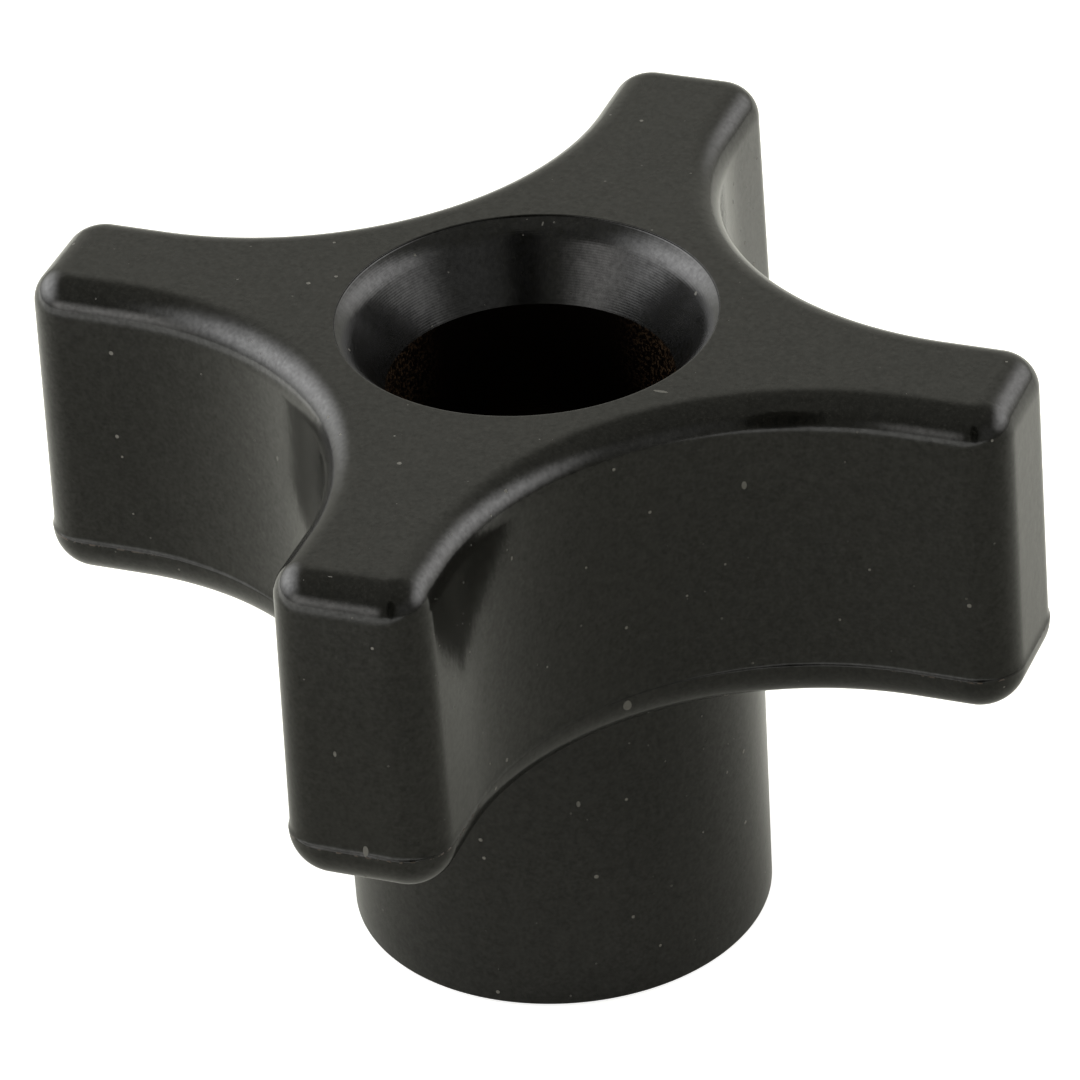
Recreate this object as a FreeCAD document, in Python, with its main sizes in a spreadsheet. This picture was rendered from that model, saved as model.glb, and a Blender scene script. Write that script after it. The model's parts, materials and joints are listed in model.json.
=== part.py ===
"""Four-arm clamping knob nut: a moulded plastic hand knob around a knurled, tapped metal bush.

Frame: millimetres, +Z up along the thread. The origin is the centre of the bush's end face, which bears
on whatever the nut clamps. The four arms lie along +X, +Y, -X and -Y.
"""
import FreeCAD, Part
import math
import os
import Sketcher
from FreeCAD import Placement, Rotation, Vector

# Driving dimensions. Lengths are in millimetres and angles in degrees.
SIZES = {
    "arm_span": (63.0, "across opposite arm ends, at the mould's parting line"),
    "total_height": (42.0, "from the bush's end face to the flat top"),
    "arm_depth": (21.1, "from the flat top down to the underside of the arms"),
    "flank_offset": (25.15, "x and y of the centre of each hollow flank"),
    "flank_radius": (20.1, "radius of each hollow flank, at the parting line"),
    "corner_radius": (2.8, "upright corners of the arms, at the parting line"),
    "draft_angle": (0.9, "lean of the arms' walls, so that the mould opens"),
    "top_round": (2.1, "rounded edge around the flat top"),
    "lower_round": (2.8, "rounded edge under the parting line"),
    "flash_land": (0.1, "upright strip left between the parting line and the lower round"),
    "mould_step": (0.1, "how far the lower mould half stands proud of the upper one"),
    "hub_foot_diameter": (26.3, "hub at its end"),
    "hub_neck_diameter": (26.6, "hub where it meets the arms"),
    "hub_edge_round": (0.25, "edge of the hub's end"),
    "rim_diameter": (23.2, "mouth of the funnel, in the flat top"),
    "rim_step": (0.1, "small drop left by the core pin's shoulder around the mouth"),
    "lip_radius": (3.0, "section of the rounded lip inside the mouth"),
    "lip_slope": (32.0, "slope of the lip where it starts, below level"),
    "funnel_depth": (4.7, "from the flat top to the sharp throat"),
    "well_diameter": (17.6, "straight well below the throat"),
    "bush_length": (18.0, "overall length of the metal bush"),
    "bush_proud": (0.05, "how far the bush stands out of the hub's end"),
    "knurl_diameter": (18.0, "over the bush's knurled bands"),
    "knurl_depth": (0.5, "depth of one knurl groove"),
    "knurl_count": (40, "grooves around the knurl"),
    "collar_diameter": (16.6, "plain collar at each end of the bush"),
    "collar_length": (1.6, "length of each plain collar"),
    "collar_bevel": (0.4, "bevel on each collar's end"),
    "keyway_diameter": (15.8, "floor of the ring groove that locks the bush in the plastic"),
    "keyway_width": (3.2, "ring groove at its mouth"),
    "thread_bore_diameter": (10.2, "tapping bore of an M12 thread of 1.75 pitch"),
    "thread_bevel": (1.0, "bevel at each end of the tapping bore, just past the thread's root"),
}
OVERSHOOT = 1  # how far, in mm, a cutting profile runs past the face that it opens
SNAP = 1e-4  # two heights closer than this, in mm, are the same
QUARTER_TURNS = range(4)
CURVES_PER_QUARTER = 6
ORIGIN, X_AXIS, Y_AXIS = (-1, 1), -1, -2  # a sketch's own origin and axes


def make_sheet(doc):
    """The spreadsheet of driving dimensions: name, value, meaning."""
    sheet = doc.addObject("Spreadsheet::Sheet", "sizes")
    for row, (name, (value, meaning)) in enumerate(SIZES.items(), start=1):
        sheet.set(f"A{row}", name)
        sheet.set(f"B{row}", str(value))
        sheet.set(f"C{row}", meaning)
        sheet.setAlias(f"B{row}", name)
    doc.recompute()
    return sheet


def size(name):
    """A driving dimension's number, for a sketch's first guess."""
    return SIZES[name][0]


def origin_feature(body, role):
    """One of a body's own origin planes or axes."""
    return next(item for item in body.Origin.OriginFeatures if item.Role == role)


def make_sketch(body, name, plane, height=None):
    """An empty sketch on one of the body's origin planes, lifted to the formula `height` if given."""
    sketch = body.newObject("Sketcher::SketchObject", name)
    sketch.AttachmentSupport = [(origin_feature(body, plane), "")]
    sketch.MapMode = "FlatFace"
    if height:
        sketch.setExpression(".AttachmentOffset.Base.z", height)
    return sketch


def bind(sketch, constraint, formula):
    """Adds a constraint and ties its value to a formula of the sheet."""
    index = sketch.addConstraint(constraint)
    sketch.setExpression(f"Constraints[{index}]", formula)


def pin_point(sketch, point, axis, formula, negative=False):
    """Holds a point's distance from the origin along one axis: "X" or "Y"."""
    ends = (*point, *ORIGIN) if negative else (*ORIGIN, *point)
    here = sketch.getPoint(*point)
    start = abs(here.x if axis == "X" else here.y)
    bind(sketch, Sketcher.Constraint("Distance" + axis, *ends, start), formula)


def pin_radius(sketch, arc, formula):
    """Holds an arc's radius."""
    bind(sketch, Sketcher.Constraint("Radius", arc, sketch.Geometry[arc].Radius), formula)


def draw_loop(sketch, corners):
    """A closed loop of straight lines whose corners sit at (x formula, y formula).

    The lines start on a small ring. The constraints then carry every corner to its place.
    """
    count = len(corners)
    turn = 2 * math.pi / count
    centre, radius = Vector(20, 20, 0), 5
    ring = [centre + Vector(math.cos(turn * i), math.sin(turn * i), 0) * radius for i in range(count)]
    for i in range(count):
        sketch.addGeometry(Part.LineSegment(ring[i], ring[(i + 1) % count]))
    for i in range(count):
        sketch.addConstraint(Sketcher.Constraint("Coincident", i, 2, (i + 1) % count, 1))
    for i, (x_formula, y_formula) in enumerate(corners):
        for axis, formula, zero_line in (("X", x_formula, Y_AXIS), ("Y", y_formula, X_AXIS)):
            if formula == "0":
                sketch.addConstraint(Sketcher.Constraint("PointOnObject", i, 1, zero_line))
            else:
                pin_point(sketch, (i, 1), axis, formula)


def draw_cross(sketch, proud):
    """The arms' outline: flat ends, rounded corners, straight sides near the ends, and hollow flanks.

    `proud` is a formula for how far this outline stands outside the nominal one.
    """
    reach, corner = size("arm_span") / 2, size("corner_radius")
    offset, flank = size("flank_offset"), size("flank_radius")
    side = offset - flank
    corner_x, corner_y = reach - corner, side - corner
    up, right_angle = Vector(0, 0, 1), math.pi / 2
    for quarter in QUARTER_TURNS:
        turned, angle = Rotation(up, 90 * quarter).multVec, right_angle * quarter
        low_corner = Part.Circle(turned(Vector(corner_x, -corner_y, 0)), up, corner)
        high_corner = Part.Circle(turned(Vector(corner_x, corner_y, 0)), up, corner)
        hollow = Part.Circle(turned(Vector(offset, offset, 0)), up, flank)
        low, high = turned(Vector(reach, -corner_y, 0)), turned(Vector(reach, corner_y, 0))
        side_out, side_in = turned(Vector(corner_x, side, 0)), turned(Vector(offset, side, 0))
        next_in, next_out = turned(Vector(side, offset, 0)), turned(Vector(side, corner_x, 0))
        sketch.addGeometry(Part.ArcOfCircle(low_corner, angle - right_angle, angle))
        sketch.addGeometry(Part.LineSegment(low, high))
        sketch.addGeometry(Part.ArcOfCircle(high_corner, angle, angle + right_angle))
        sketch.addGeometry(Part.LineSegment(side_out, side_in))
        sketch.addGeometry(Part.ArcOfCircle(hollow, angle + 2 * right_angle, angle + 3 * right_angle))
        sketch.addGeometry(Part.LineSegment(next_in, next_out))
    for quarter in QUARTER_TURNS:
        first = CURVES_PER_QUARTER * quarter
        low, end, high, side_line, flank, next_side = range(first, first + CURVES_PER_QUARTER)
        next_low = (first + CURVES_PER_QUARTER) % (CURVES_PER_QUARTER * len(QUARTER_TURNS))
        joints = ((low, 2, end, 1), (end, 2, high, 1), (high, 2, side_line, 1),
                  (side_line, 2, flank, 2), (flank, 1, next_side, 1), (next_side, 2, next_low, 1))
        for joint in joints:
            sketch.addConstraint(Sketcher.Constraint("Tangent", *joint))
        upright = quarter % 2 == 0
        sketch.addConstraint(Sketcher.Constraint("Vertical" if upright else "Horizontal", end))
        sketch.addConstraint(Sketcher.Constraint("Horizontal" if upright else "Vertical", side_line))
        sketch.addConstraint(Sketcher.Constraint("Vertical" if upright else "Horizontal", next_side))
        reach_axis = "X" if upright else "Y"
        pin_point(sketch, (end, 1), reach_axis, f"sizes.arm_span / 2 + {proud}", negative=quarter >= 2)
        pin_point(sketch, (flank, 3), "X", "sizes.flank_offset", negative=quarter in (1, 2))
        pin_point(sketch, (flank, 3), "Y", "sizes.flank_offset", negative=quarter in (2, 3))
        pin_radius(sketch, flank, f"sizes.flank_radius - {proud}")
        pin_radius(sketch, low, f"sizes.corner_radius + {proud}")
        pin_radius(sketch, high, f"sizes.corner_radius + {proud}")


def extrude(body, kind, name, sketch, length=None, downward=False, taper=None):
    """A Pad or Pocket from a sketch, straight through everything if no length formula is given."""
    feature = body.newObject(f"PartDesign::{kind}", name)
    feature.Profile = sketch
    feature.Reversed = downward
    if length:
        feature.setExpression("Length", length)
    else:
        feature.Type = "ThroughAll"
    if taper:
        feature.setExpression("TaperAngle", taper)
    return feature


def spin(body, kind, name, sketch):
    """A Revolution or Groove of a sketch around the body's upright axis."""
    feature = body.newObject(f"PartDesign::{kind}", name)
    feature.Profile = sketch
    feature.ReferenceAxis = (sketch, ["V_Axis"])
    feature.Angle = 360
    return feature


def round_edges(body, name, base, wanted, formula):
    """A Fillet on the base feature's edges for which wanted(edge) is true."""
    body.Document.recompute()
    edges = [f"Edge{i}" for i, edge in enumerate(base.Shape.Edges, start=1) if wanted(edge)]
    if not edges:
        raise RuntimeError(f"{name} found no edges")
    fillet = body.newObject("PartDesign::Fillet", name)
    fillet.Base = (base, edges)
    fillet.setExpression("Radius", formula)
    return fillet


def lies_at(height):
    """A test for edges that lie level at the given height."""
    def wanted(edge):
        box = edge.BoundBox
        return abs(box.ZMin - height) < SNAP and abs(box.ZMax - height) < SNAP
    return wanted


def add_arms(body):
    """The cross of arms: a rounded lower rim under the parting line, then drafted walls up to the top."""
    parting = "sizes.total_height - sizes.arm_depth + sizes.lower_round + sizes.flash_land"
    underside_height = size("total_height") - size("arm_depth")

    lower_outline = make_sketch(body, "lower_outline", "XY_Plane", parting)
    draw_cross(lower_outline, "sizes.mould_step")
    lower_rim = extrude(body, "Pad", "lower_rim", lower_outline,
                        "sizes.lower_round + sizes.flash_land", downward=True)
    round_edges(body, "lower_edge", lower_rim, lies_at(underside_height), "sizes.lower_round")

    upper_outline = make_sketch(body, "upper_outline", "XY_Plane", parting)
    draw_cross(upper_outline, "0")
    arms = extrude(body, "Pad", "arms", upper_outline,
                   "sizes.arm_depth - sizes.lower_round - sizes.flash_land", taper="-sizes.draft_angle")
    round_edges(body, "top_edge", arms, lies_at(size("total_height")), "sizes.top_round")


def add_hub(body):
    """The round hub below the arms, a little narrower at its end so that it leaves the mould."""
    underside = "sizes.total_height - sizes.arm_depth"
    profile = make_sketch(body, "hub_profile", "XZ_Plane")
    draw_loop(profile, [
        ("0", "sizes.bush_proud"),
        ("sizes.hub_foot_diameter / 2", "sizes.bush_proud"),
        ("sizes.hub_neck_diameter / 2", underside),
        ("sizes.hub_neck_diameter / 2", underside + " + sizes.lower_round / 2"),
        ("0", underside + " + sizes.lower_round / 2"),
    ])
    hub = spin(body, "Revolution", "hub", profile)
    return round_edges(body, "hub_edge", hub, lies_at(size("bush_proud")), "sizes.hub_edge_round")


def draw_funnel(sketch):
    """Half the section of the mouth, the lip, the cone, the well and the way through the hub."""
    rim, well = size("rim_diameter") / 2, size("well_diameter") / 2
    top, radius, slope = size("total_height"), size("lip_radius"), math.radians(size("lip_slope"))
    lip_top = Vector(rim, top - size("rim_step"), 0)
    lip_centre = lip_top + Vector(radius * math.sin(slope), -radius * math.cos(slope), 0)
    throat = Vector(well, top - size("funnel_depth"), 0)
    cone = math.atan2(lip_centre.x - radius - throat.x, lip_centre.y - throat.y)
    lip_foot = lip_centre + Vector(-radius * math.cos(cone), radius * math.sin(cone), 0)
    floor, way = size("bush_length"), size("collar_diameter") / 2 - OVERSHOOT
    above, below = top + OVERSHOOT, -OVERSHOOT
    points = [Vector(0, above, 0), Vector(rim, above, 0), lip_top, lip_foot, throat,
              Vector(well, floor, 0), Vector(way, floor, 0), Vector(way, below, 0), Vector(0, below, 0)]
    lip = 2
    for i, start in enumerate(points):
        end = points[(i + 1) % len(points)]
        if i == lip:
            circle = Part.Circle(lip_centre, Vector(0, 0, 1), radius)
            sketch.addGeometry(Part.ArcOfCircle(circle, math.pi / 2 + slope, math.pi - cone))
        else:
            sketch.addGeometry(Part.LineSegment(start, end))
    for i in range(len(points)):
        after = (i + 1) % len(points)
        if i == lip:
            sketch.addConstraint(Sketcher.Constraint("Tangent", i, 2, after, 1))
        else:
            sketch.addConstraint(Sketcher.Constraint("Coincident", i, 2, after, 1))
    square_lines = (0, 1, 4, 5, 6, 7)
    for i in square_lines:
        flat = abs(points[i].y - points[i + 1].y) < SNAP
        sketch.addConstraint(Sketcher.Constraint("Horizontal" if flat else "Vertical", i))
    for i in (0, 8):
        sketch.addConstraint(Sketcher.Constraint("PointOnObject", i, 1, Y_AXIS))
    pin_point(sketch, (0, 1), "Y", f"sizes.total_height + {OVERSHOOT}")
    pin_point(sketch, (8, 1), "Y", f"{OVERSHOOT}", negative=True)
    pin_point(sketch, (lip, 1), "X", "sizes.rim_diameter / 2")
    pin_point(sketch, (lip, 1), "Y", "sizes.total_height - sizes.rim_step")
    pin_radius(sketch, lip, "sizes.lip_radius")
    bind(sketch, Sketcher.Constraint("DistanceX", lip, 1, lip, 3, 1.0),
         "sizes.lip_radius * sin(sizes.lip_slope)")
    pin_point(sketch, (4, 1), "X", "sizes.well_diameter / 2")
    pin_point(sketch, (4, 1), "Y", "sizes.total_height - sizes.funnel_depth")
    pin_point(sketch, (6, 1), "Y", "sizes.bush_length")
    pin_point(sketch, (7, 1), "X", f"sizes.collar_diameter / 2 - {OVERSHOOT}")


def make_moulding(doc):
    """The plastic before the bush is bedded in it."""
    body = doc.addObject("PartDesign::Body", "moulding")
    add_arms(body)
    hub = add_hub(body)
    section = make_sketch(body, "funnel_section", "XZ_Plane")
    draw_funnel(section)
    funnel = spin(body, "Groove", "funnel", section)
    doc.recompute()
    if funnel.Shape.Volume >= hub.Shape.Volume:
        raise RuntimeError("the funnel removed nothing")
    return body


def make_bush(doc):
    """The metal bush: plain collars, two knurled bands with a ring groove between, and a tapping bore."""
    body = doc.addObject("PartDesign::Body", "threaded_insert")
    bore, knurl = "sizes.thread_bore_diameter / 2", "sizes.knurl_diameter / 2"
    collar, keyway = "sizes.collar_diameter / 2", "sizes.keyway_diameter / 2"
    half_length = "sizes.bush_length / 2"
    keyway_slope = "(sizes.knurl_diameter - sizes.keyway_diameter) / 4"
    blank_profile = make_sketch(body, "blank_profile", "XZ_Plane")
    lower_half = [
        (f"{bore} + sizes.thread_bevel", "0"),
        (f"{collar} - sizes.collar_bevel", "0"),
        (collar, "sizes.collar_bevel"),
        (collar, "sizes.collar_length"),
        (knurl, "sizes.collar_length"),
        (knurl, f"{half_length} - sizes.keyway_width / 2"),
        (keyway, f"{half_length} - sizes.keyway_width / 2 + {keyway_slope}"),
    ]
    upper_half = [(x, f"sizes.bush_length - ({z})") for x, z in reversed(lower_half)]
    bore_line = [(bore, "sizes.bush_length - sizes.thread_bevel"), (bore, "sizes.thread_bevel")]
    draw_loop(blank_profile, lower_half + upper_half + bore_line)
    blank = spin(body, "Revolution", "blank", blank_profile)

    notch = make_sketch(body, "knurl_notch", "XY_Plane")
    root, mouth = size("knurl_diameter") / 2 - size("knurl_depth"), 2 * size("knurl_depth")
    corners = (Vector(root, 0, 0), Vector(root + mouth, mouth, 0), Vector(root + mouth, -mouth, 0))
    sides = ((0, 1), (1, 2), (2, 0))
    for start, end in sides:
        notch.addGeometry(Part.LineSegment(corners[start], corners[end]))
    for line, after in sides:
        notch.addConstraint(Sketcher.Constraint("Coincident", line, 2, after, 1))
    notch.addConstraint(Sketcher.Constraint("PointOnObject", 0, 1, X_AXIS))
    notch.addConstraint(Sketcher.Constraint("Symmetric", 1, 1, 1, 2, X_AXIS))
    pin_point(notch, (0, 1), "X", f"{knurl} - sizes.knurl_depth")
    pin_point(notch, (1, 1), "X", f"{knurl} + sizes.knurl_depth")
    pin_point(notch, (1, 1), "Y", "2 * sizes.knurl_depth")
    groove = extrude(body, "Pocket", "knurl_groove", notch, downward=True)
    doc.recompute()
    if groove.Shape.Volume >= blank.Shape.Volume:
        raise RuntimeError("the knurl groove removed nothing")
    knurling = body.newObject("PartDesign::PolarPattern", "knurling")
    knurling.Originals = [groove]
    knurling.Axis = (origin_feature(body, "Z_Axis"), [""])
    knurling.Angle = 360
    knurling.setExpression("Occurrences", "sizes.knurl_count")
    body.Tip = knurling
    return body


def make_knob(doc, moulding, bush):
    """The finished plastic: the moulding less the space that the bush fills."""
    knob = doc.addObject("Part::Cut", "knob_body")
    knob.Base = moulding
    knob.Tool = bush
    return knob


def check_and_write(doc, pieces):
    """Stops on any failed object or bad shape, then writes one STEP file for each piece."""
    failed = [item.Name for item in doc.Objects if {"Invalid", "Error"} & set(item.State)]
    if failed:
        raise RuntimeError(f"these objects failed to recompute: {failed}")
    for piece in pieces:
        if piece.Shape.isNull() or not piece.Shape.isValid() or len(piece.Shape.Solids) != 1:
            raise RuntimeError(f"{piece.Label} has no sound single solid")
    os.makedirs("parts", exist_ok=True)
    for piece in pieces:
        piece.Shape.exportStep(f"parts/{piece.Label}.step")
        box = piece.Shape.optimalBoundingBox(False, False)
        print(f"{piece.Label}: {piece.Shape.Volume:.1f} mm3, "
              f"x {box.XMin:.3f} to {box.XMax:.3f}, z {box.ZMin:.3f} to {box.ZMax:.3f}")


def main():
    doc = FreeCAD.newDocument("clamping_knob")
    make_sheet(doc)
    moulding = make_moulding(doc)
    bush = make_bush(doc)
    knob = make_knob(doc, moulding, bush)
    knob.Label = "knob_body"
    bush.Label = "threaded_insert"
    for piece in (knob, bush):
        piece.Placement = Placement(Vector(0, 0, 0), Rotation())
    doc.recompute()
    check_and_write(doc, (knob, bush))


main()
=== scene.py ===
"""Looks for the four-arm clamping knob nut: a black moulded knob around a knurled, tapped metal bush."""
import json
import math

import bmesh
import bpy
import numpy as np
from mathutils import Matrix, Vector


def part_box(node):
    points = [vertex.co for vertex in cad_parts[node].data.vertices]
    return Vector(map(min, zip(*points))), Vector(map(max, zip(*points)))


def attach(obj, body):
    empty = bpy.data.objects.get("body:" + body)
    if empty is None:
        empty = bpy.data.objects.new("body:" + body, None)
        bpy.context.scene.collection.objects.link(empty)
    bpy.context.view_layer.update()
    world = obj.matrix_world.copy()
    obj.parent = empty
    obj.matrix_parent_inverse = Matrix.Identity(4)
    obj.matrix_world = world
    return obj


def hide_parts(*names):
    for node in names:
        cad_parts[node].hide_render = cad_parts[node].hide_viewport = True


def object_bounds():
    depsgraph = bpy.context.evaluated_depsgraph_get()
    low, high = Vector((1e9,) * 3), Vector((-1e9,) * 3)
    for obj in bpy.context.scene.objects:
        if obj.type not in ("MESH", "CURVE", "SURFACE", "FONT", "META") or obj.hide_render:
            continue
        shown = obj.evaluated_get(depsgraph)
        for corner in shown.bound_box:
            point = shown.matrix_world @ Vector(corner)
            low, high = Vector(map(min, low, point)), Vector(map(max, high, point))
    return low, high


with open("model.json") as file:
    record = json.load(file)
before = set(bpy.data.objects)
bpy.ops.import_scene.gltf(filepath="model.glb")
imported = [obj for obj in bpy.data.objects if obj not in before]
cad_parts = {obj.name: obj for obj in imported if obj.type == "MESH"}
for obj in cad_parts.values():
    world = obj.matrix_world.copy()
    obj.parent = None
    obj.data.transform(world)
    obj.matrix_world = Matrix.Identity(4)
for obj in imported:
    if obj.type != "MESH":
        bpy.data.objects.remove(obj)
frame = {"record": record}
cad_low, cad_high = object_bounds()

# ---------------------------------------------------------------- sizes, in millimetres and radians
MM = 0.001
mounts = {mount["name"]: mount["dims"] for mount in frame["record"]["mounts"]}
knob_low, knob_high = (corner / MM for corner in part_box("knob_body"))
bush_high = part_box("threaded_insert")[1] / MM

MOULD_STEP = 0.1                      # the lower mould half stands this far proud
TOP = round(knob_high.z, 2)
FOOT = knob_low.z
REACH = knob_high.x - MOULD_STEP      # axis to an arm's end, at the parting line
ARM_DEPTH = 0.502 * TOP               # flat top to the underside of the arms
UNDERSIDE = TOP - ARM_DEPTH
FLANK_OFFSET = 0.7984 * REACH         # x and y of the centre of a hollow flank
FLANK_R = 0.6381 * REACH
CORNER_R = 2.8
TOP_ROUND = 2.1
LOWER_ROUND = 2.8
STEP_FOOT = 0.1                       # the mould step ends this far under the parting line
PARTING = UNDERSIDE + LOWER_ROUND + STEP_FOOT
DRAFT = math.radians(0.9)
HUB_NECK_R = 13.3
HUB_FOOT_R = 13.15
HUB_EDGE = 0.25
ROOT_ROUND = 0.35                     # small fillet where the hub meets the arms
RIM_R = 11.6
RIM_STEP = 0.1
LIP_R = 3.0
LIP_SLOPE = math.radians(32)
FUNNEL_DEPTH = 4.7
THROAT = TOP - FUNNEL_DEPTH
WELL_R = mounts["stud_well"]["r_mm"]
BORE_R = mounts["stud_thread"]["r_mm"]
BUSH_LENGTH = bush_high.z
KNURL_R = bush_high.x
KNURL_DEPTH = 0.5
KNURL_TEETH = 40
COLLAR_R = 8.3
COLLAR_LENGTH = 1.6
COLLAR_BEVEL = 0.4
KEYWAY_R = 7.9
KEYWAY_WIDTH = 3.2
THREAD_MAJOR_R = 6.0
THREAD_PITCH = 1.75
THREAD_FLANK = math.radians(30)       # lean of the thread's flanks
THREAD_ROOT = THREAD_PITCH / 16       # half the flat at the thread's root
THREAD_BEVEL = BUSH_LENGTH / 2 - mounts["stud_thread"]["length_mm"] / 2
BED_GAP = 0.012                       # hairline between the plastic and the bush

AROUND = 640                          # points in every ring
QUARTER = AROUND // 4
TURN = np.arange(AROUND) / AROUND * 2 * math.pi
GUARD = 0.08                          # a ring this far from a rounded edge keeps its shading tight


# ---------------------------------------------------------------- mesh helpers
class Skin:
    """Gathers rings of points and the faces between them, then makes one closed mesh."""

    def __init__(self):
        self.points = []
        self.faces = []
        self.flats = []

    def ring(self, points):
        """Adds a ring of points and returns their numbers."""
        start = len(self.points)
        self.points.extend(points)
        return list(range(start, start + len(points)))

    def join(self, first, second):
        """A band of four-sided faces between two rings of equal count."""
        count = len(first)
        for i in range(count):
            j = (i + 1) % count
            self.faces.append((first[i], first[j], second[j], second[i]))

    def add(self, previous, points):
        """Adds a ring, joins it to the ring before it and returns its numbers."""
        ring = self.ring(points)
        self.join(previous, ring)
        return ring

    def band(self, rings):
        """Joins a run of rings, each given as points, and returns the rings' numbers."""
        numbered = [self.ring(points) for points in rings]
        for first, second in zip(numbered, numbered[1:]):
            self.join(first, second)
        return numbered

    def fill(self, *loops):
        """Closes a flat region that one or more loops bound."""
        self.flats.append(loops)

    def build(self, name):
        """Makes the object: merges doubled points, turns all faces outwards and checks that it is closed."""
        bm = bmesh.new()
        verts = [bm.verts.new(Vector(point) * MM) for point in self.points]
        for face in self.faces:
            corners = [verts[i] for i in dict.fromkeys(face)]
            if len(corners) > 2:
                bm.faces.new(corners)
        for loops in self.flats:
            edges = []
            for loop in loops:
                for i, number in enumerate(loop):
                    pair = (verts[number], verts[loop[(i + 1) % len(loop)]])
                    edges.append(bm.edges.get(pair) or bm.edges.new(pair))
            bmesh.ops.triangle_fill(bm, use_beauty=True, use_dissolve=False, edges=edges)
        bmesh.ops.remove_doubles(bm, verts=bm.verts, dist=1e-7)
        bmesh.ops.dissolve_degenerate(bm, dist=1e-8, edges=bm.edges)
        bmesh.ops.recalc_face_normals(bm, faces=bm.faces)
        loose = [vert for vert in bm.verts if not vert.link_faces]
        bmesh.ops.delete(bm, geom=loose, context="VERTS")
        if any(len(edge.link_faces) != 2 for edge in bm.edges):
            raise RuntimeError(f"{name} isn't closed")
        mesh = bpy.data.meshes.new(name)
        bm.to_mesh(mesh)
        bm.free()
        mesh.shade_smooth()
        piece = bpy.data.objects.new(name, mesh)
        bpy.context.scene.collection.objects.link(piece)
        return piece


def circle(radius, height, angles=TURN):
    """A level ring of points; the radius and the height may vary from point to point."""
    heights = np.broadcast_to(height, angles.shape)
    return np.column_stack([radius * np.cos(angles), radius * np.sin(angles), heights])


def arc(start, end, steps):
    """Angles from start to end, both included."""
    return np.linspace(start, end, steps + 1)


def ripple(angles, seed, waves):
    """A smooth random wave around the ring, about -1 to 1."""
    source = np.random.default_rng(seed)
    total = sum(source.normal() * np.cos(wave * angles + source.uniform(0, 2 * math.pi)) for wave in waves)
    return total / math.sqrt(len(waves) / 2)


# ---------------------------------------------------------------- the knob
def cross_outline():
    """The arms' outline at the parting line: points and outward directions, one quarter turn at a time."""
    side = FLANK_OFFSET - FLANK_R
    corner_x, corner_y = REACH - CORNER_R, side - CORNER_R
    hollow_steps, side_steps, corner_steps, end_steps = 46, 8, 20, 12
    hollow = arc(math.radians(135), math.radians(90), hollow_steps)[:-1]
    along = np.linspace(FLANK_OFFSET, corner_x, side_steps + 1)[:-1]
    corner = arc(-math.pi / 2, 0, corner_steps)[:-1]
    across = np.linspace(-corner_y, corner_y, end_steps + 1)[:-1]
    parts = [
        (FLANK_OFFSET + FLANK_R * np.cos(hollow), FLANK_R * np.sin(hollow) - FLANK_OFFSET,
         -np.cos(hollow), -np.sin(hollow)),
        (along, np.full(side_steps, -side), np.zeros(side_steps), np.full(side_steps, -1.0)),
        (corner_x + CORNER_R * np.cos(corner), CORNER_R * np.sin(corner) - corner_y,
         np.cos(corner), np.sin(corner)),
        (np.full(end_steps, REACH), across, np.ones(end_steps), np.zeros(end_steps)),
    ]
    half = np.vstack([np.column_stack(part) for part in parts])
    last = np.array([[REACH, corner_y, 1.0, 0.0]])
    mirrored = half * [1, -1, 1, -1]
    turns_back = mirrored[hollow_steps + side_steps + corner_steps - 1:0:-1]
    quarter = np.vstack([half, last, turns_back])
    points, outward = [], []
    for cosine, sine in ((1, 0), (0, 1), (-1, 0), (0, -1)):
        rotate = np.array([[cosine, sine], [-sine, cosine]])
        points.append(quarter[:, :2] @ rotate)
        outward.append(quarter[:, 2:] @ rotate)
    return np.vstack(points), np.vstack(outward)


OUTLINE, OUTWARD = cross_outline()


def arm_ring(offset, height):
    """A ring around the arms, at a distance outside the nominal outline."""
    flat = OUTLINE + OUTWARD * np.broadcast_to(offset, AROUND)[:, None]
    return np.column_stack([flat, np.broadcast_to(height, AROUND)])


def wall_offset(height):
    """The drafted wall's distance from the outline: further in, the higher it is."""
    return -(height - PARTING) * math.tan(DRAFT)


def flash_height():
    """The trimmed flash on the parting line: low and uneven, a little heavier at the arms' ends."""
    lowest, rise, between_arms, end_columns = 0.002, 0.022, 0.15, 22.0
    from_end = (np.arange(QUARTER) - QUARTER / 2) / end_columns
    end_share = np.tile(np.exp(-(from_end**2)), 4)
    uneven = 0.5 + 0.5 * np.tanh(1.2 * ripple(TURN, 5, range(9, 90, 4)))
    return lowest + rise * uneven * (between_arms + end_share)


# rings across the parting line: height above it, share of the mould step, share of the flash
PARTING_RINGS = ((0.6, 0.0, 0.0), (0.45, 0.04, 0.0), (0.3, 0.16, 0.0), (0.18, 0.38, 0.1),
                 (0.08, 0.68, 0.5), (0.02, 0.88, 1.0), (-0.04, 0.98, 0.8), (-STEP_FOOT, 1.0, 0.0))


def arm_rings():
    """Rings from the flat top, over the rounded edge, down the wall, past the parting line."""
    centre_z = TOP - TOP_ROUND
    centre_off = wall_offset(centre_z) - TOP_ROUND / math.cos(DRAFT)
    rings = [arm_ring(centre_off - GUARD, TOP)]
    for angle in arc(math.pi / 2, DRAFT, 18):
        offset = centre_off + TOP_ROUND * math.cos(angle)
        rings.append(arm_ring(offset, centre_z + TOP_ROUND * math.sin(angle)))
    wall_top = centre_z + TOP_ROUND * math.sin(DRAFT)
    for height in np.linspace(wall_top - GUARD, PARTING + 0.9, 12):
        rings.append(arm_ring(wall_offset(height), height))
    flash = flash_height()
    for height, step, share in PARTING_RINGS:
        offset = wall_offset(PARTING + height) * (1 - step) + MOULD_STEP * step + share * flash
        rings.append(arm_ring(offset, PARTING + height))
    return rings


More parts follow.
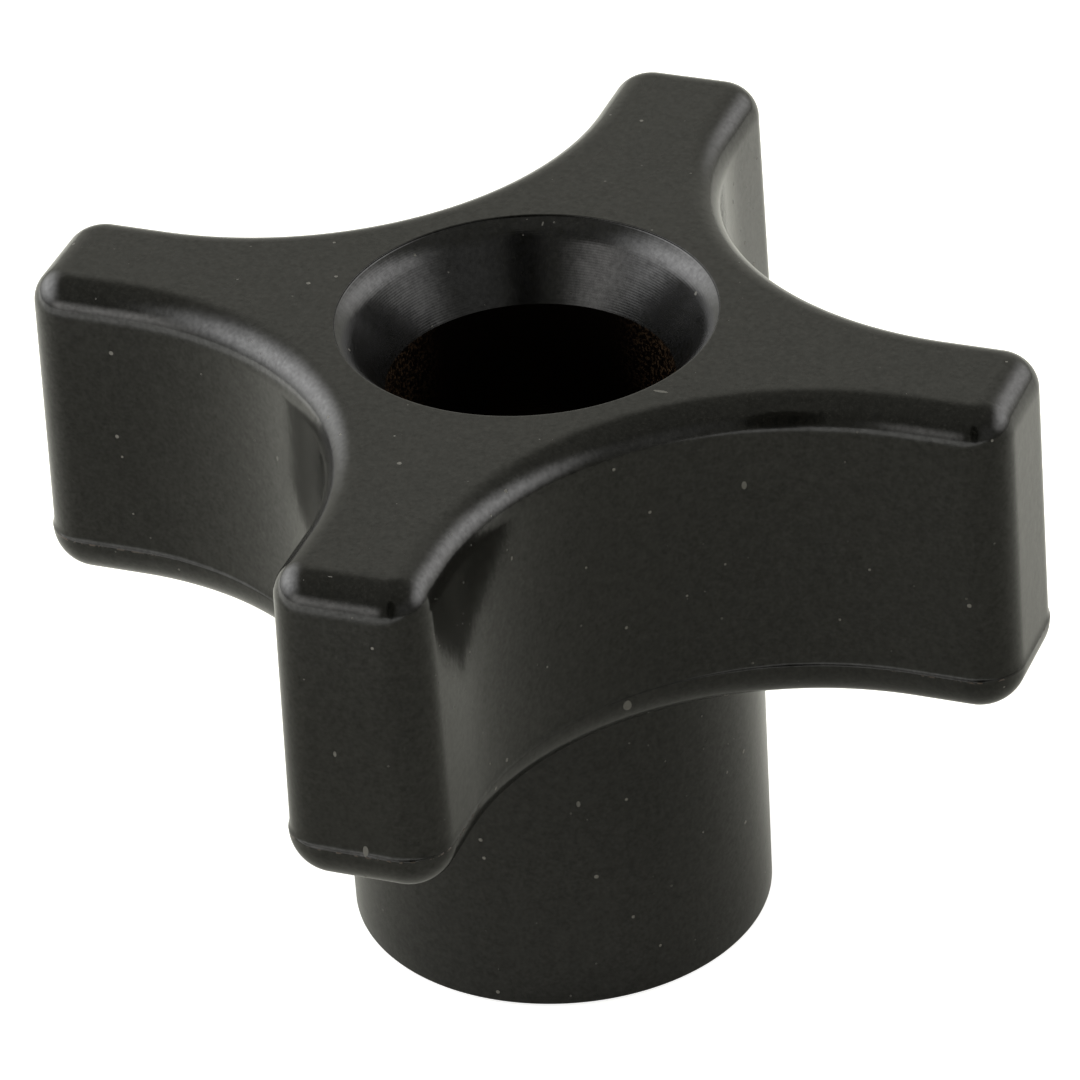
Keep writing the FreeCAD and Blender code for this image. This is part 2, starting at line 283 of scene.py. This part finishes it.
def lower_round_ring(angle):
    """A ring of the rounded edge under the parting line; the angle may vary from point to point."""
    offset = MOULD_STEP - LOWER_ROUND * (1 - np.cos(angle))
    height = UNDERSIDE + LOWER_ROUND * (1 - np.sin(angle))
    return arm_ring(offset, height)


def angle_where_round_reaches(radius):
    """For each column, the angle on the lower round where it comes in to that radius, or a right angle."""
    tries = arc(0, math.pi / 2, 400)
    rings = [lower_round_ring(np.full(AROUND, angle)) for angle in tries]
    reach = np.array([np.hypot(ring[:, 0], ring[:, 1]) for ring in rings])
    found = np.full(AROUND, math.pi / 2)
    for column in range(AROUND):
        inside = np.nonzero(reach[:, column] <= radius)[0]
        if len(inside):
            after = inside[0]
            before = after - 1
            share = (reach[before, column] - radius) / (reach[before, column] - reach[after, column])
            found[column] = tries[before] + share * (tries[after] - tries[before])
    return found


def free_stretches(free):
    """Each unbroken run of free columns, with the column before it and the column after it."""
    for start in range(AROUND):
        if free[start] and not free[start - 1]:
            run = [(start - 1) % AROUND, start]
            while free[(run[-1] + 1) % AROUND]:
                run.append((run[-1] + 1) % AROUND)
            run.append((run[-1] + 1) % AROUND)
            yield run


def spread_angles(points, free):
    """Angles around the hub: each column keeps its own where it must, and is spread evenly elsewhere."""
    angles = np.unwrap(np.arctan2(points[:, 1], points[:, 0]))
    for run in free_stretches(free):
        low, high = angles[run[0]], angles[run[-1]]
        high += 2 * math.pi * round((low + math.pi / 4 - high) / (2 * math.pi))
        for step, column in enumerate(run[1:-1], start=1):
            angles[column] = low + (high - low) * step / (len(run) - 1)
    return angles


def add_undersides(skin, round_foot, hub_top, free):
    """The arms' flat undersides, between the foot of the lower round and the top of the hub."""
    for i in range(AROUND):
        j = (i + 1) % AROUND
        if not free[i] and not free[j]:
            skin.faces.append((round_foot[i], round_foot[j], hub_top[j], hub_top[i]))
    for run in free_stretches(free):
        skin.fill([round_foot[i] for i in run] + [hub_top[i] for i in reversed(run[1:-1])])
    # between the arms the round runs straight into the hub, so the two rings share their points there
    for i in np.nonzero(~free)[0]:
        skin.points[hub_top[i]] = skin.points[round_foot[i]]


def add_hub(skin, wall_ring):
    """The lower round, the arms' undersides, the small root fillet, the hub's wall and its end."""
    end_angle = angle_where_round_reaches(HUB_NECK_R + ROOT_ROUND)
    root_angle = angle_where_round_reaches(HUB_NECK_R)
    free = end_angle > math.pi / 2 - 1e-9
    round_foot = wall_ring
    for share in arc(0, 1, 16):
        round_foot = skin.add(round_foot, lower_round_ring(end_angle * share))

    corner = lower_round_ring(root_angle)
    angles = spread_angles(corner, free)
    corner_z = np.where(free, UNDERSIDE, corner[:, 2])
    wall_top, wall_foot = corner_z - ROOT_ROUND, FOOT + HUB_EDGE
    outer = circle(HUB_NECK_R + ROOT_ROUND, UNDERSIDE, angles)
    outer = np.where(free[:, None], outer, lower_round_ring(end_angle))
    corner = circle(HUB_NECK_R, corner_z, angles)
    inner = circle(HUB_NECK_R, wall_top, angles)
    previous = skin.ring(outer)
    add_undersides(skin, round_foot, previous, free)
    for share in arc(0, 1, 6)[1:]:
        bend = (1 - share) ** 2 * outer + 2 * share * (1 - share) * corner + share**2 * inner
        previous = skin.add(previous, bend)

    for share in np.linspace(0.04, 1, 14):
        radius = HUB_NECK_R + (HUB_FOOT_R - HUB_NECK_R) * share
        previous = skin.add(previous, circle(radius, wall_top + (wall_foot - wall_top) * share, angles))
    for angle in arc(0, math.pi / 2, 6)[1:]:
        radius = HUB_FOOT_R - HUB_EDGE * (1 - math.cos(angle))
        previous = skin.add(previous, circle(radius, FOOT + HUB_EDGE * (1 - math.sin(angle)), angles))
    return skin.add(previous, circle(HUB_FOOT_R - HUB_EDGE - GUARD, FOOT, angles))


def funnel_rings():
    """Rings from the flat top down the mouth, the rounded lip, the cone, the throat and the well."""
    lip_top = TOP - RIM_STEP
    lip_x = RIM_R + LIP_R * math.sin(LIP_SLOPE)
    lip_z = lip_top - LIP_R * math.cos(LIP_SLOPE)
    # the cone touches the lip's circle and passes through the throat
    across, down = lip_x - WELL_R, lip_z - THROAT
    cone = math.atan2(across, down) - math.asin(LIP_R / math.hypot(across, down))
    foot_r = lip_x - LIP_R * math.cos(cone)
    foot_z = lip_z + LIP_R * math.sin(cone)
    rings = [circle(RIM_R + 0.1, TOP), circle(RIM_R + 0.02, TOP), circle(RIM_R, TOP - 0.02)]
    rings.append(circle(RIM_R, lip_top + 0.01))
    for angle in arc(math.pi / 2 + LIP_SLOPE, math.pi - cone, 16):
        rings.append(circle(lip_x + LIP_R * math.cos(angle), lip_z + LIP_R * math.sin(angle)))
    for share in (*np.linspace(0.1, 0.9, 8), 0.98, 0.996, 1.0):
        rings.append(circle(foot_r + (WELL_R - foot_r) * share, foot_z + (THROAT - foot_z) * share))
    rings.append(circle(WELL_R, THROAT - 0.015))
    for height in np.linspace(THROAT - 0.1, BUSH_LENGTH + 0.1, 12):
        rings.append(circle(WELL_R, height))
    rings.append(circle(WELL_R - 0.03, BUSH_LENGTH + 0.03))
    rings.append(circle(WELL_R - 0.1, BUSH_LENGTH))
    return rings


def knurl_radius():
    """The knurled band's radius at each point of a ring: V grooves with flat lands between them."""
    tooth = 2 * math.pi / KNURL_TEETH
    from_root = np.abs((TURN + tooth / 2) % tooth - tooth / 2)
    groove_half = KNURL_DEPTH / KNURL_R
    return KNURL_R - KNURL_DEPTH * np.clip(1 - from_root / groove_half, 0, None)


def bush_outside():
    """The bush's outer section as (radius, height), from its lower end up."""
    middle = BUSH_LENGTH / 2
    slope = (KNURL_R - KEYWAY_R) / 2
    knurl = knurl_radius()
    lower = [
        (COLLAR_R - COLLAR_BEVEL, 0.0),
        (COLLAR_R, COLLAR_BEVEL),
        (COLLAR_R, COLLAR_LENGTH),
        (knurl, COLLAR_LENGTH),
        (knurl, middle - KEYWAY_WIDTH / 2),
        (KEYWAY_R, middle - KEYWAY_WIDTH / 2 + slope),
    ]
    return lower + [(radius, BUSH_LENGTH - height) for radius, height in reversed(lower)]


def build_knob():
    """The black moulding, as one closed skin that also lines the bed of the bush."""
    skin = Skin()
    wall = skin.band(arm_rings())
    hub_end = add_hub(skin, wall[-1])
    funnel = skin.band(funnel_rings())
    skin.fill(wall[0], funnel[0])
    bed = [(radius + BED_GAP, height) for radius, height in reversed(bush_outside())]
    bevel_share = FOOT / COLLAR_BEVEL
    bed[-1] = (COLLAR_R - COLLAR_BEVEL * (1 - bevel_share) + BED_GAP, FOOT)
    cavity = skin.band([circle(radius, height) for radius, height in bed])
    skin.join(funnel[-1], cavity[0])
    skin.join(cavity[-1], hub_end)
    return skin.build("moulded_knob")


# ---------------------------------------------------------------- the bush
def thread_radius(phase):
    """The internal thread's radius over one pitch: flat root, leaning flanks, flat crest."""
    from_root = np.abs((phase + 0.5) % 1.0 - 0.5) * THREAD_PITCH
    flank = THREAD_MAJOR_R - (from_root - THREAD_ROOT) / math.tan(THREAD_FLANK)
    return np.clip(flank, BORE_R, THREAD_MAJOR_R)


def thread_rows():
    """Rows that follow the thread's helix, cut off at the bush's ends and opened by the bevels."""
    root = THREAD_ROOT / THREAD_PITCH
    crest = root + (THREAD_MAJOR_R - BORE_R) * math.tan(THREAD_FLANK) / THREAD_PITCH
    flank = (root + crest) / 2
    phases = (-crest, -flank, -root, 0.0, root, flank, crest, 0.5)
    lead = TURN / (2 * math.pi)
    turns = int(BUSH_LENGTH / THREAD_PITCH) + 3
    rows = []
    for turn in range(-2, turns):
        for phase in phases:
            height = (turn + phase + lead) * THREAD_PITCH
            held = np.clip(height, 0, BUSH_LENGTH)
            bevel = BORE_R + THREAD_BEVEL - np.minimum(held, BUSH_LENGTH - held)
            rows.append((np.maximum(thread_radius(held / THREAD_PITCH - lead), bevel), held))
    return rows, len(phases)


def build_bush():
    """The metal bush, as one closed skin with a real helical thread."""
    skin = Skin()
    outside = skin.band([circle(radius, height) for radius, height in bush_outside()])
    rows, per_turn = thread_rows()
    numbered = [skin.ring(circle(radius, height)) for radius, height in rows]
    last = AROUND - 1
    for low, high in zip(numbered, numbered[1:]):
        for i in range(last):
            skin.faces.append((low[i], low[i + 1], high[i + 1], high[i]))
    # one turn up, each row meets the row that starts above it
    for row in range(len(rows) - per_turn - 1):
        low, high = numbered[row + per_turn], numbered[row + per_turn + 1]
        skin.faces.append((numbered[row][last], low[0], high[0], numbered[row + 1][last]))
    skin.join(outside[0], numbered[0])
    skin.join(outside[-1], numbered[-1])
    return skin.build("tapped_bush")


# ---------------------------------------------------------------- shading helpers
def toward(azimuth, elevation):
    """Unit vector from angles in degrees: azimuth 0 is the front, -Y, and 90 the right, +X."""
    azimuth, elevation = math.radians(azimuth), math.radians(elevation)
    flat = math.cos(elevation)
    return Vector((math.sin(azimuth) * flat, -math.cos(azimuth) * flat, math.sin(elevation)))


class Nodes:
    """A node tree, with short calls for the nodes used here. Sizes ending in _mm are in millimetres."""

    def __init__(self, tree, coordinates):
        self.tree = tree
        self.place = self.node("ShaderNodeTexCoord").outputs[coordinates]
        self.x, self.y, self.z = self.split(self.place)

    def node(self, kind, **settings):
        """Adds a node."""
        node = self.tree.nodes.new(kind)
        for key, value in settings.items():
            setattr(node, key, value)
        return node

    def link(self, source, target):
        """Feeds a socket from another socket or with a plain value."""
        if hasattr(source, "links"):
            self.tree.links.new(source, target)
        else:
            target.default_value = source

    def split(self, vector):
        """The three parts of a vector."""
        node = self.node("ShaderNodeSeparateXYZ")
        self.link(vector, node.inputs[0])
        return node.outputs[:]

    def math(self, operation, *values):
        """A calculation on numbers."""
        node = self.node("ShaderNodeMath", operation=operation)
        for value, socket in zip(values, node.inputs):
            self.link(value, socket)
        return node.outputs[0]

    def times(self, first, *others):
        """The product of several numbers."""
        for other in others:
            first = self.math("MULTIPLY", first, other)
        return first

    def step(self, value, start, end):
        """0 before start, 1 after end, smooth between; a start above the end falls instead."""
        node = self.node("ShaderNodeMapRange", interpolation_type="SMOOTHSTEP")
        self.link(value, node.inputs["Value"])
        low, high, first, last = (start, end, 0.0, 1.0) if start < end else (end, start, 1.0, 0.0)
        for key, number in zip(("From Min", "From Max", "To Min", "To Max"), (low, high, first, last)):
            node.inputs[key].default_value = number
        return node.outputs["Result"]

    def along(self, direction):
        """How far each point lies along a direction."""
        node = self.node("ShaderNodeVectorMath", operation="DOT_PRODUCT")
        self.link(self.place, node.inputs[0])
        self.link(direction, node.inputs[1])
        return node.outputs["Value"]

    def from_axis(self):
        """Each point's distance from the part's axis, in metres."""
        flat = self.node("ShaderNodeCombineXYZ")
        self.link(self.x, flat.inputs[0])
        self.link(self.y, flat.inputs[1])
        length = self.node("ShaderNodeVectorMath", operation="LENGTH")
        self.link(flat.outputs[0], length.inputs[0])
        return length.outputs["Value"]

    def stretched(self, stretch, turn):
        """The coordinates, turned and stretched."""
        node = self.node("ShaderNodeMapping")
        self.link(self.place, node.inputs["Vector"])
        node.inputs["Scale"].default_value = stretch
        node.inputs["Rotation"].default_value = turn
        return node.outputs["Vector"]

    def noise(self, size_mm, detail=2.0, stretch=(1, 1, 1), distortion=0.0):
        """Noise whose features are about that size."""
        node = self.node("ShaderNodeTexNoise")
        node.inputs["Scale"].default_value = 1 / (size_mm * MM)
        node.inputs["Detail"].default_value = detail
        node.inputs["Distortion"].default_value = distortion
        self.link(self.stretched(stretch, (0, 0, 0)), node.inputs["Vector"])
        return node.outputs["Fac"]

    def specks(self, spacing_mm, size_mm, share, stretch=(1, 1, 1), turn=(0, 0, 0)):
        """Small scattered spots: 1 inside a spot, 0 outside. Only that share of the places holds one."""
        node = self.node("ShaderNodeTexVoronoi", feature="F1")
        node.inputs["Scale"].default_value = 1 / (spacing_mm * MM)
        self.link(self.stretched(stretch, turn), node.inputs["Vector"])
        draw = self.node("ShaderNodeSeparateColor")
        self.link(node.outputs["Color"], draw.inputs[0])
        chosen = self.math("LESS_THAN", draw.outputs[0], share)
        largest = size_mm / spacing_mm
        reach = self.math("MULTIPLY_ADD", draw.outputs[1], 0.6 * largest, 0.4 * largest)
        near = self.math("LESS_THAN", node.outputs["Distance"], reach)
        return self.math("MULTIPLY", chosen, near)

    def turning_marks(self, pitch_mm):
        """Fine rings around the axis, as a lathe leaves them, from -1 to 1."""
        outwards = self.math("ADD", self.z, self.from_axis())
        return self.math("SINE", self.math("MULTIPLY", outwards, 2 * math.pi / (pitch_mm * MM)))

    def between(self, kind, share, first, second):
        """Goes from the first value to the second with the share; the kind is FLOAT or RGBA."""
        node = self.node("ShaderNodeMix", data_type=kind)
        self.link(share, node.inputs["Factor"])
        socket_type = "VALUE" if kind == "FLOAT" else kind
        ends = [socket for socket in node.inputs if socket.type == socket_type][-2:]
        for value, socket in zip((first, second), ends):
            self.link(value, socket)
        return next(socket for socket in node.outputs if socket.type == socket_type)

    def blend(self, share, first, second):
        """Blends two numbers."""
        return self.between("FLOAT", share, first, second)

    def mix(self, share, *colours):
        """Blends two colours, each a socket or red, green and blue."""
        first, second = (colour if hasattr(colour, "links") else (*colour, 1.0) for colour in colours)
        return self.between("RGBA", share, first, second)

    def bump(self, height, distance_mm, below=None):
        """A normal that makes the height show, on top of another normal if one is given."""
        node = self.node("ShaderNodeBump")
        node.inputs["Distance"].default_value = distance_mm * MM
        self.link(height, node.inputs["Height"])
        if below is not None:
            self.link(below, node.inputs["Normal"])
        return node.outputs["Normal"]

    def glow(self, tint, strength):
        """A shader that gives off light."""
        node = self.node("ShaderNodeEmission")
        node.inputs["Color"].default_value = (*tint, 1)
        self.link(strength, node.inputs["Strength"])
        return node.outputs[0]

    def clear(self):
        """A shader that lets everything through."""
        return self.node("ShaderNodeBsdfTransparent").outputs[0]

    def choose(self, share, first, second):
        """Goes from the first shader to the second with the share."""
        node = self.node("ShaderNodeMixShader")
        for value, socket in zip((share, first, second), node.inputs):
            self.link(value, socket)
        return node.outputs[0]


class Shader(Nodes):
    """A material and its node tree."""

    def __init__(self, name):
        self.material = bpy.data.materials.new(name)
        self.material.use_nodes = True
        super().__init__(self.material.node_tree, "Object")
        self.surface = self.tree.nodes["Principled BSDF"]

    def set(self, **values):
        """Sets or feeds the surface's inputs by name, with _ for a space."""
        for key, value in values.items():
            self.link(value, self.surface.inputs[key.replace("_", " ")])

    def show(self, shader):
        """Shows a shader in place of the plain surface."""
        self.link(shader, self.tree.nodes["Material Output"].inputs["Surface"])


# ---------------------------------------------------------------- materials
OLIVE_BLACKS = (0.0042, 0.0042, 0.0032), (0.0063, 0.0061, 0.0048)
MOUTH_BLACK = (0.006, 0.006, 0.0062)
GRAIN_GREY = (0.014, 0.0136, 0.0115)
MOTTLE_BLACK = (0.0035, 0.0036, 0.0028)
# painted shade: the well's wall below the throat is coloured darker
WELL_SHADE_BLACK = (0.003, 0.002, 0.0016)
# painted light: brown patches on the well's two sides near the throat
SIDE_LIGHT_BROWN = (0.045, 0.028, 0.016)
DUST_WHITE = (0.30, 0.29, 0.26)
FLASH_BROWN = (0.20, 0.15, 0.12)
BRASS = (0.72, 0.50, 0.20)
TARNISH = (0.55, 0.36, 0.14)
WALL_ROUGHNESS, TOP_ROUGHNESS, MOUTH_ROUGHNESS, DIRT_ROUGHNESS = 0.155, 0.27, 0.21, 0.7


def inside_mouth(look):
    """1 on the funnel's own surfaces, 0 elsewhere."""
    inside = look.step(look.from_axis(), (RIM_R + 0.02) * MM, (RIM_R - 0.05) * MM)
    above_bush = look.step(look.z, (BUSH_LENGTH + 2) * MM, (BUSH_LENGTH + 3) * MM)
    return look.math("MULTIPLY", inside, above_bush)


def inside_well(look):
    """1 on the well's wall below the throat, 0 elsewhere."""
    below = look.step(look.z, (THROAT + 0.05) * MM, (THROAT - 0.05) * MM)
    inside = look.step(look.from_axis(), (WELL_R + 0.3) * MM, (WELL_R + 0.1) * MM)
    return look.math("MULTIPLY", below, inside)


def well_side_light(look):
    """Painted light near the throat: brown patches on the two sides of the well as the camera sees it."""
    sideways = look.math("ABSOLUTE", look.along(toward(112, 0)))
    at_side = look.step(sideways, 0.55 * WELL_R * MM, 0.95 * WELL_R * MM)
    near_throat = look.step(look.z, (THROAT - 9) * MM, (THROAT - 2) * MM)
    return look.times(look.step(look.noise(0.22, detail=3), 0.50, 0.60), at_side, near_throat)


def dust_and_lint(look, in_well):
    """Dust in two sizes and short hairs in two directions, with none in the dark well."""
    dust = look.specks(spacing_mm=1.6, size_mm=0.15, share=0.40)
    fine_dust = look.math("MULTIPLY", look.specks(spacing_mm=0.8, size_mm=0.08, share=0.16), 0.5)
    hair = {"size_mm": 0.20, "share": 0.24}
    hairs = look.specks(spacing_mm=2.2, stretch=(1, 0.22, 0.5), turn=(0.4, 0.2, 0.7), **hair)
    more_hairs = look.specks(spacing_mm=2.5, stretch=(0.24, 1, 0.6), turn=(0.1, 0.5, 2.1), **hair)
    lint = look.math("MULTIPLY", look.math("MAXIMUM", hairs, more_hairs), 0.8)
    dirt = look.math("MAXIMUM", look.math("MAXIMUM", dust, fine_dust), lint)
    return look.math("MULTIPLY", dirt, look.math("SUBTRACT", 1.0, in_well))


def trimmed_flash(look):
    """The rough, broken line that the trimmed flash leaves around the arms' ends."""
    from_line = look.math("ABSOLUTE", look.math("SUBTRACT", look.z, (PARTING - 0.03) * MM))
    on_line = look.step(from_line, 0.07 * MM, 0.02 * MM)
    broken = look.step(look.noise(0.45, detail=4), 0.52, 0.62)
    far_out = look.step(look.from_axis(), 0.72 * REACH * MM, 0.9 * REACH * MM)
    return look.times(on_line, broken, far_out)


def paint_moulding():
    """Black phenolic: glossy walls, a duller top, a mottled shine, dust, lint and a broken flash line."""
    look = Shader("black_moulding")
    in_mouth, in_well = inside_mouth(look), inside_well(look)
    dirt, flash = dust_and_lint(look, in_well), trimmed_flash(look)
    rough_spots = look.math("MAXIMUM", dirt, flash)
    grain, mottle = look.noise(0.16), look.noise(0.42, detail=3)

    colour = look.mix(look.step(look.noise(9, detail=3), 0.35, 0.65), *OLIVE_BLACKS)
    colour = look.mix(in_mouth, colour, MOUTH_BLACK)
    colour = look.mix(look.step(grain, 0.52, 0.74), colour, GRAIN_GREY)
    colour = look.mix(look.step(mottle, 0.50, 0.66), colour, MOTTLE_BLACK)
    # painted shade darkens the well below the throat, and painted light lies in brown patches on its sides
    colour = look.mix(in_well, colour, look.mix(well_side_light(look), WELL_SHADE_BLACK, SIDE_LIGHT_BROWN))
    colour = look.mix(look.math("MULTIPLY", dirt, 0.55), colour, DUST_WHITE)
    colour = look.mix(look.math("MULTIPLY", flash, 0.45), colour, FLASH_BROWN)

    facing = look.node("ShaderNodeNewGeometry").outputs["Normal"]
    level = look.step(look.math("ABSOLUTE", look.split(facing)[2]), 0.985, 0.999)
    smear = look.noise(5, detail=3, stretch=(1, 0.5, 0.35), distortion=0.6)
    roughness = look.blend(level, WALL_ROUGHNESS, TOP_ROUGHNESS)
    roughness = look.math("ADD", roughness, look.math("MULTIPLY", look.math("SUBTRACT", smear, 0.5), 0.10))
    roughness = look.blend(in_mouth, roughness, MOUTH_ROUGHNESS)
    roughness = look.blend(rough_spots, roughness, DIRT_ROUGHNESS)

    normal = look.bump(look.noise(1.4), distance_mm=0.012)
    normal = look.bump(grain, distance_mm=0.0015, below=normal)
    turned = look.math("MULTIPLY", look.turning_marks(0.22), in_mouth)
    normal = look.bump(turned, distance_mm=0.0006, below=normal)
    normal = look.bump(rough_spots, distance_mm=0.02, below=normal)

    film = look.math("ADD", look.noise(0.26, detail=3), look.math("MULTIPLY", look.noise(0.6), 0.5))
    shine = look.math("MULTIPLY_ADD", look.math("SUBTRACT", film, 0.75), 0.5, 0.5)
    look.set(Base_Color=colour, Roughness=roughness, IOR=1.5, Specular_IOR_Level=shine, Normal=normal)
    return look.material


def paint_bush():
    """Machined brass: fine lathe rings, a little tarnish."""
    look = Shader("bush_metal")
    tarnish = look.noise(2.5, detail=4)
    colour = look.mix(look.step(tarnish, 0.35, 0.7), BRASS, TARNISH)
    normal = look.bump(look.turning_marks(0.12), distance_mm=0.0012)
    normal = look.bump(look.noise(0.4, detail=3), distance_mm=0.003, below=normal)
    roughness = look.math("MULTIPLY_ADD", tarnish, 0.22, 0.18)
    look.set(Base_Color=colour, Metallic=1.0, Roughness=roughness, Normal=normal)
    return look.material


def add_piece(piece, material, node):
    """Gives a piece its finish, hangs it from the root body and hides the CAD node that it stands for."""
    piece.data.materials.append(material)
    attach(piece, "root")
    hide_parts(node)


# ---------------------------------------------------------------- studio
CENTRE = (cad_low + cad_high) / 2
WHITE = (1.0, 1.0, 1.0)
CARD_BLACK = (0.003, 0.003, 0.003)
ROOM_TINT = (1.0, 0.99, 0.88)
ROOM_GLOW, BACKDROP_GLOW, OVERHEAD_GLOW = 0.21, 0.36, 0.08
FLOOR_TINT = (0.80, 0.80, 0.72)
# painted shade darkens the floor's tint before the part, and painted light lightens it behind
FLOOR_SHADED_BEFORE, FLOOR_LIT_BEHIND = 0.66, 1.04   # shares of the floor's tint before and behind the part
FLOOR_LIFT = 0.85                         # the floor's own glow for the camera, which makes it white
# painted light: the floor glows behind the part and far to the left
FLOOR_PAINTED_GLOW = 0.20                         # its glow behind the part for everything else
FLOOR_HALF = 4.0                          # metres from its middle to its edges
FLOOR_DROP = 0.00002                      # metres below the part's foot, so that the two never touch
# each glowing card's azimuth, elevation, distance in metres, width and height in degrees, radiance and tint
LIGHTS = {
    "left_box": (-88, 27, 0.9, 98, 66, 4.6, WHITE),
    "right_box": (124, 26, 0.9, 96, 54, 3.4, (1.0, 0.99, 0.98)),
    "low_strip": (-30, 14, 0.5, 58, 40, 2.7, (1.0, 0.98, 0.95)),
    "front_right": (58, 20, 0.9, 64, 60, 0.42, (1.0, 1.0, 0.96)),
}


def hang_card(name, azimuth, elevation, distance, width, height, sides=4):
    """A flat card that faces the part and that the camera doesn't see: four sides, or many for an oval."""
    half_x = distance * math.tan(math.radians(width / 2))
    half_y = distance * math.tan(math.radians(height / 2))
    reach = 1 / math.cos(math.pi / sides)
    mesh = bpy.data.meshes.new(name)
    turns = [math.pi / sides + 2 * math.pi * i / sides for i in range(sides)]
    corners = [(half_x * reach * math.cos(turn), half_y * reach * math.sin(turn), 0) for turn in turns]
    mesh.from_pydata(corners, [], [range(sides)])
    card = bpy.data.objects.new(name, mesh)
    card.location = CENTRE + toward(azimuth, elevation) * distance
    card.rotation_euler = toward(azimuth, elevation).to_track_quat("Z", "Y").to_euler()
    card.visible_camera = False
    card.visible_shadow = False
    bpy.context.scene.collection.objects.link(card)
    return card


def glow_card(name, azimuth, elevation, distance, width, height, radiance, tint):
    """A glowing card that spans those angles as seen from the part and fades to clear at its edges."""
    card = hang_card(name, azimuth, elevation, distance, width, height)
    look = Shader(name)
    fades = []
    for across in look.split(look.node("ShaderNodeTexCoord").outputs["Generated"])[:2]:
        from_edge = look.math("SUBTRACT", 0.5, look.math("ABSOLUTE", look.math("SUBTRACT", across, 0.5)))
        fades.append(look.step(from_edge, 0.0, 0.5))
    look.show(look.choose(look.times(*fades), look.clear(), look.glow(tint, radiance)))
    card.data.materials.append(look.material)


def dark_card(name, azimuth, elevation, distance, width, height):
    """A matt black oval that only reflections see."""
    card = hang_card(name, azimuth, elevation, distance, width, height, sides=48)
    look = Shader(name)
    look.set(Base_Color=(*CARD_BLACK, 1), Roughness=0.9)
    card.data.materials.append(look.material)


def paint_floor():
    """Pale and matt: clear from below, darker before the part than behind it as painted shade, and white to
    the camera.

    Behind the part and far to the left it also glows with painted light, for every ray but the camera's own.
    """
    look = Shader("studio_floor")
    # painted shade before the part, painted light behind it and far to the left
    behind = look.step(look.along(toward(20, 0)), 45 * MM, -55 * MM)
    far_left = look.step(look.along(toward(-30, 0)), 80 * MM, 170 * MM)
    tints = [[share * part for part in FLOOR_TINT] for share in (FLOOR_SHADED_BEFORE, FLOOR_LIT_BEHIND)]
    look.set(Base_Color=look.mix(behind, *tints), Roughness=0.8, Specular_IOR_Level=0.1)
    painted_floor_glow = look.math("ADD", look.math("MULTIPLY", behind, FLOOR_PAINTED_GLOW), far_left)
    to_camera = look.node("ShaderNodeLightPath").outputs["Is Camera Ray"]
    lit = look.node("ShaderNodeAddShader")
    look.link(look.surface.outputs[0], lit.inputs[0])
    look.link(look.glow(WHITE, look.blend(to_camera, painted_floor_glow, FLOOR_LIFT)), lit.inputs[1])
    from_below = look.node("ShaderNodeNewGeometry").outputs["Backfacing"]
    look.show(look.choose(from_below, lit.outputs[0], look.clear()))
    return look.material


def lay_floor():
    """The floor sheet, a hair below the part's foot."""
    mesh = bpy.data.meshes.new("studio_floor")
    signs = ((-1, -1), (1, -1), (1, 1), (-1, 1))
    mesh.from_pydata([(x * FLOOR_HALF, y * FLOOR_HALF, 0) for x, y in signs], [], [range(len(signs))])
    mesh.materials.append(paint_floor())
    sheet = bpy.data.objects.new("studio_floor", mesh)
    sheet.location.z = -FLOOR_DROP
    bpy.context.scene.collection.objects.link(sheet)


def light_room():
    """A dim room: lighter behind the part than in front, and plain white to the camera."""
    world = bpy.data.worlds.new("studio_room")
    world.use_nodes = True
    sky = Nodes(world.node_tree, "Generated")
    behind = sky.step(sky.along(toward(190, 10)), -0.1, 0.8)
    backdrop = sky.times(behind, sky.step(sky.z, 0.88, 0.62), BACKDROP_GLOW)
    overhead = sky.math("MULTIPLY", sky.step(sky.z, 0.5, 0.95), OVERHEAD_GLOW)
    room = sky.tree.nodes["Background"]
    sky.link((*ROOM_TINT, 1), room.inputs["Color"])
    sky.link(sky.math("ADD", sky.math("ADD", backdrop, overhead), ROOM_GLOW), room.inputs["Strength"])
    backcloth = sky.node("ShaderNodeBackground")
    sky.link((*WHITE, 1), backcloth.inputs["Color"])
    to_camera = sky.node("ShaderNodeLightPath").outputs["Is Camera Ray"]
    seen = sky.choose(to_camera, room.outputs[0], backcloth.outputs[0])
    sky.link(seen, sky.tree.nodes["World Output"].inputs["Surface"])
    bpy.context.scene.world = world


def set_camera():
    """The viewing angle: front right, a third of the way up, with a slight roll."""
    azimuth, elevation, roll = 22.25, 32.95, math.radians(-3.82)
    distance, aside, above = 440.3 * MM, -0.351 * MM, 3.966 * MM
    back = toward(azimuth, elevation)
    right = (-back).cross(Vector((0, 0, 1))).normalized()
    up = right.cross(-back)
    across = math.cos(roll) * right + math.sin(roll) * up
    along = -math.sin(roll) * right + math.cos(roll) * up
    data = bpy.data.cameras.new("studio_camera")
    data.sensor_width = 36.0
    data.lens = 238.4
    data.clip_start = 0.01
    data.clip_end = 50.0
    camera = bpy.data.objects.new("studio_camera", data)
    place = CENTRE + back * distance + across * aside + along * above
    turn = Matrix((across, along, back)).transposed()
    camera.matrix_world = Matrix.Translation(place) @ turn.to_4x4()
    bpy.context.scene.collection.objects.link(camera)
    bpy.context.scene.camera = camera


add_piece(build_knob(), paint_moulding(), "knob_body")
add_piece(build_bush(), paint_bush(), "threaded_insert")
set_camera()
light_room()
lay_floor()
for name, settings in LIGHTS.items():
    glow_card(name, *settings)
dark_card("dark_gap", azimuth=21, elevation=24, distance=0.8, width=21, height=58)
bpy.context.scene.view_settings.view_transform = "Standard"
